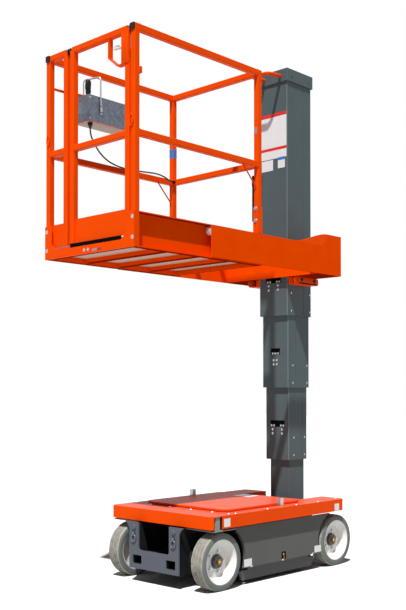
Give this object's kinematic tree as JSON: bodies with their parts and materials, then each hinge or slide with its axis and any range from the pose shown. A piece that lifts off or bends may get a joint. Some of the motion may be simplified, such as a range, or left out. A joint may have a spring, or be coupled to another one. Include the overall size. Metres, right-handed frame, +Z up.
{
  "type": "vertical mast lift",
  "caption": "Self-propelled vertical mast lift: wheeled base, telescopic mast at one end and a guarded platform that slides out from the mast.",
  "frame": {"origin": "on the ground below the middle of the overall length, on the symmetry plane of the base and mast", "axes": "+Z up, +X from the entry end to the mast end, +Y to the left of someone who faces the mast"},
  "size_m": [1.847, 0.814, 3.145],
  "materials": {
    "mast_grey_enamel": "satin",
    "orange_enamel": "gloss",
    "zinc_plated_steel": "satin",
    "galvanised_sheet": "satin",
    "grey_rubber": "matte",
    "white_rim_enamel": "gloss",
    "black_casting": "satin",
    "battery_case": "matte",
    "white_nylon": "satin",
    "black_moulded_plastic": "satin",
    "cable_jacket": "satin"
  },
  "bodies": {
    "chassis": {"chassis_frame": "mast_grey_enamel", "end_plate": "mast_grey_enamel", "tie_down_rings": "zinc_plated_steel", "drive_motors": "black_casting", "steer_axle": "mast_grey_enamel", "front_cover": "orange_enamel", "deck_cover": "orange_enamel", "deck_lid": "orange_enamel", "rest_posts": "zinc_plated_steel", "cover_brackets": "zinc_plated_steel", "battery_pack": "battery_case", "power_unit": "black_casting", "mast_stage_1": "mast_grey_enamel"},
    "wheel_front_left": {"tyre_front_left": "grey_rubber", "rim_front_left": "white_rim_enamel"},
    "wheel_front_right": {"tyre_front_right": "grey_rubber", "rim_front_right": "white_rim_enamel"},
    "wheel_rear_left": {"tyre_rear_left": "grey_rubber", "rim_rear_left": "white_rim_enamel"},
    "wheel_rear_right": {"tyre_rear_right": "grey_rubber", "rim_rear_right": "white_rim_enamel"},
    "knuckle_left": {"knuckle_left": "mast_grey_enamel"},
    "knuckle_right": {"knuckle_right": "mast_grey_enamel"},
    "tie_rod": {"tie_rod": "mast_grey_enamel"},
    "door_left": {"door_left": "mast_grey_enamel"},
    "door_right": {"door_right": "mast_grey_enamel"},
    "pothole_guard_left": {"pothole_guard_left": "mast_grey_enamel"},
    "pothole_guard_right": {"pothole_guard_right": "mast_grey_enamel"},
    "mast_stage_2": {"mast_stage_2": "mast_grey_enamel"},
    "mast_stage_3": {"mast_stage_3": "mast_grey_enamel"},
    "mast_stage_4": {"mast_stage_4": "mast_grey_enamel", "mast_cap": "mast_grey_enamel", "mast_handle": "orange_enamel", "carriage_frame": "orange_enamel", "carriage_rollers": "white_nylon", "mast_brackets": "orange_enamel"},
    "platform": {"platform_frame": "orange_enamel", "platform_floor": "galvanised_sheet", "platform_front_plate": "orange_enamel", "guardrail_left": "orange_enamel", "guardrail_right": "orange_enamel", "rear_guardrail": "orange_enamel", "front_guardrail": "orange_enamel", "rail_caps": "black_moulded_plastic", "control_box": "galvanised_sheet", "control_hanger": "orange_enamel", "joystick": "black_moulded_plastic", "joystick_guard": "zinc_plated_steel", "cable_gland": "black_moulded_plastic", "control_cable": "cable_jacket", "cable_grommet": "black_moulded_plastic", "document_box": "battery_case"},
    "gate": {"gate_frame": "orange_enamel", "gate_latch": "orange_enamel"}
  },
  "joints": [
    {"name": "front_left_wheel_spin", "type": "hinge", "parent": "chassis", "child": "wheel_front_left", "pos_m": [-0.2915, 0.335, 0.158], "axis": [0, 1, 0], "continuous": true},
    {"name": "front_right_wheel_spin", "type": "hinge", "parent": "chassis", "child": "wheel_front_right", "pos_m": [-0.2915, -0.335, 0.158], "axis": [0, 1, 0], "continuous": true},
    {"name": "steering", "type": "hinge", "parent": "chassis", "child": "knuckle_left", "pos_m": [0.7655, 0.275, 0.158], "axis": [0, 0, 1], "range_deg": [-75, 75]},
    {"name": "steering_right", "type": "hinge", "parent": "chassis", "child": "knuckle_right", "pos_m": [0.7655, -0.275, 0.158], "axis": [0, 0, 1], "range_deg": [-75, 75]},
    {"name": "tie_rod_pivot", "type": "hinge", "parent": "knuckle_left", "child": "tie_rod", "pos_m": [0.7055, 0.275, 0.105], "axis": [0, 0, 1], "range_deg": [-75, 75]},
    {"name": "rear_left_wheel_spin", "type": "hinge", "parent": "knuckle_left", "child": "wheel_rear_left", "pos_m": [0.7655, 0.335, 0.158], "axis": [0, 1, 0], "continuous": true},
    {"name": "rear_right_wheel_spin", "type": "hinge", "parent": "knuckle_right", "child": "wheel_rear_right", "pos_m": [0.7655, -0.335, 0.158], "axis": [0, 1, 0], "continuous": true},
    {"name": "door_left_hinge", "type": "hinge", "parent": "chassis", "child": "door_left", "pos_m": [0.237, 0.362, 0.33], "axis": [1, 0, 0], "range_deg": [0, 80]},
    {"name": "door_right_hinge", "type": "hinge", "parent": "chassis", "child": "door_right", "pos_m": [0.237, -0.362, 0.33], "axis": [-1, 0, 0], "range_deg": [0, 80]},
    {"name": "pothole_guard_left_lift", "type": "slide", "parent": "chassis", "child": "pothole_guard_left", "axis": [0, 0, 1], "range_m": [0, 0.045]},
    {"name": "pothole_guard_right_lift", "type": "slide", "parent": "chassis", "child": "pothole_guard_right", "axis": [0, 0, 1], "range_m": [0, 0.045]},
    {"name": "mast_lift", "type": "slide", "parent": "chassis", "child": "mast_stage_2", "axis": [0, 0, 1], "range_m": [-0.4465, 0.595]},
    {"name": "mast_lift_stage_3", "type": "slide", "parent": "mast_stage_2", "child": "mast_stage_3", "axis": [0, 0, 1], "range_m": [-0.4465, 0.595]},
    {"name": "mast_lift_stage_4", "type": "slide", "parent": "mast_stage_3", "child": "mast_stage_4", "axis": [0, 0, 1], "range_m": [-0.4465, 0.595]},
    {"name": "platform_traverse", "type": "slide", "parent": "mast_stage_4", "child": "platform", "axis": [1, 0, 0], "range_m": [0, 0.508]},
    {"name": "gate_hinge", "type": "hinge", "parent": "platform", "child": "gate", "pos_m": [-0.878, 0.167, 2.4], "axis": [0, 0, 1], "range_deg": [0, 90]}
  ],
  "couplings": [
    {"joint": "steering_right", "follows": "steering", "ratio": 1},
    {"joint": "tie_rod_pivot", "follows": "steering", "ratio": -1},
    {"joint": "mast_lift_stage_3", "follows": "mast_lift", "ratio": 1},
    {"joint": "mast_lift_stage_4", "follows": "mast_lift", "ratio": 1}
  ]
}
